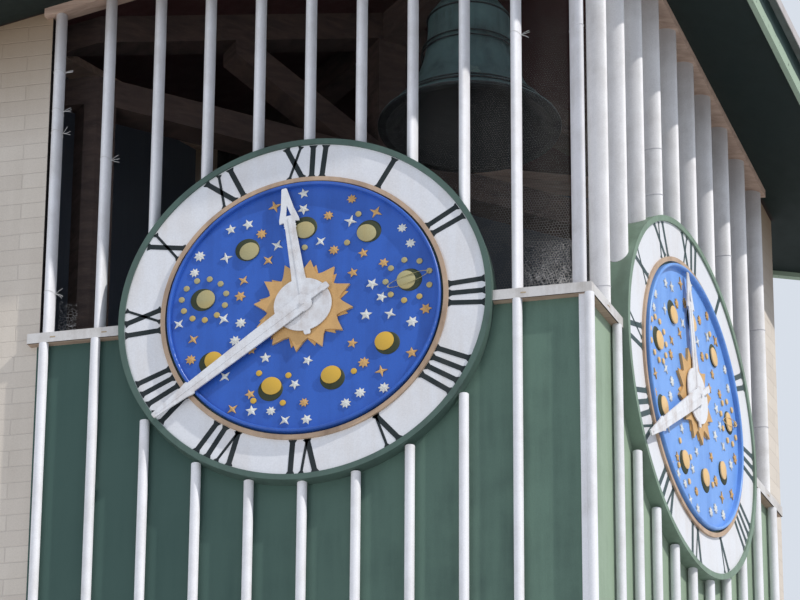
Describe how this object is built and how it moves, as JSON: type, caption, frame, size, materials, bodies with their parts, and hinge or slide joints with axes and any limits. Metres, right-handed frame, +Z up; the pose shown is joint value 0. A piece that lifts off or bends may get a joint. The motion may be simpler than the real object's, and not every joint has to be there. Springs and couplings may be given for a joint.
{
  "type": "clock tower",
  "caption": "Brick clock tower with a slatted belfry, a bell, a raked gable roof and two round dials with turning hands",
  "frame": {"origin": "Centre of the plan on the ground: the roof and the walls are laid out evenly about it", "axes": "+Z up, +X along the front wall towards the near corner, +Y from the front wall into the tower"},
  "size_m": [4.8562, 3.6266, 14.8],
  "materials": {
    "cream_brick": "matt cream brickwork",
    "green_panel": "satin green paint",
    "white_metal": "satin white paint, weathered",
    "green_wood": "dark green stain",
    "pale_green_wood": "pale green paint",
    "plate_wood": "weathered tan timber",
    "dark_wood": "dark red-brown stain",
    "roof_sheet": "matt grey-green sheet",
    "drum_metal": "green paint over steel, chipped and rusty",
    "dial_white": "satin white paint with dark numerals",
    "gilt": "tan gilt paint",
    "dial_blue": "gloss blue paint",
    "sun_gold": "satin gold paint",
    "hand_white": "satin white paint",
    "bell_bronze": "dark green patina over bronze",
    "iron": "dark oxidised iron"
  },
  "bodies": {
    "tower": {"front_wall": "cream_brick", "right_wall": "cream_brick", "left_wall": "cream_brick", "back_wall_left": "cream_brick", "back_wall_right": "cream_brick", "back_wall_over_door": "cream_brick", "door_frame": "green_wood", "door": "green_wood", "stage_sill": "white_metal", "front_panel": "green_panel", "right_panel": "green_panel", "front_tubes": "white_metal", "right_tubes": "white_metal", "front_rail": "white_metal", "right_rail": "white_metal", "belfry_floor": "dark_wood", "left_pier": "cream_brick", "far_pier": "cream_brick", "right_pier": "cream_brick", "rear_sills": "white_metal", "rear_boards": "green_wood", "corner_post": "white_metal", "front_fins": "white_metal", "right_fins": "white_metal", "front_plate": "plate_wood", "right_plate": "plate_wood", "rear_plates": "plate_wood", "left_slope": "green_wood", "right_slope": "green_wood", "fascia": "pale_green_wood", "roof_covering": "roof_sheet", "roof_edge": "white_metal", "ridge_beam": "dark_wood", "roof_truss": "dark_wood", "bell": "bell_bronze", "bell_hanger": "iron", "front_case": "drum_metal", "front_numeral_ring": "dial_white", "front_gilt_ring": "gilt", "front_star_disc": "dial_blue", "front_sun": "sun_gold", "right_case": "drum_metal", "right_numeral_ring": "dial_white", "right_gilt_ring": "gilt", "right_star_disc": "dial_blue", "right_sun": "sun_gold"},
    "front_minute_hand": {"front_minute_hand": "hand_white"},
    "front_hour_hand": {"front_hour_hand": "hand_white"},
    "right_minute_hand": {"right_minute_hand": "hand_white"},
    "right_hour_hand": {"right_hour_hand": "hand_white"}
  },
  "joints": [
    {"name": "front_minute", "type": "hinge", "parent": "tower", "child": "front_minute_hand", "pos_m": [-0.07947, -1.39854, 12.247], "axis": [0, 1, 0], "continuous": true},
    {"name": "front_hour", "type": "hinge", "parent": "tower", "child": "front_hour_hand", "pos_m": [-0.07947, -1.39854, 12.247], "axis": [0, 1, 0], "continuous": true},
    {"name": "right_minute", "type": "hinge", "parent": "tower", "child": "right_minute_hand", "pos_m": [1.5662, -0.10001, 12.247], "axis": [-0.9806, 0.1959, 0], "continuous": true},
    {"name": "right_hour", "type": "hinge", "parent": "tower", "child": "right_hour_hand", "pos_m": [1.5662, -0.10001, 12.247], "axis": [-0.9806, 0.1959, 0], "continuous": true}
  ],
  "couplings": [
    {"joint": "front_hour", "follows": "front_minute", "ratio": 0.083333},
    {"joint": "right_minute", "follows": "front_minute", "ratio": 1},
    {"joint": "right_hour", "follows": "front_minute", "ratio": 0.083333}
  ]
}
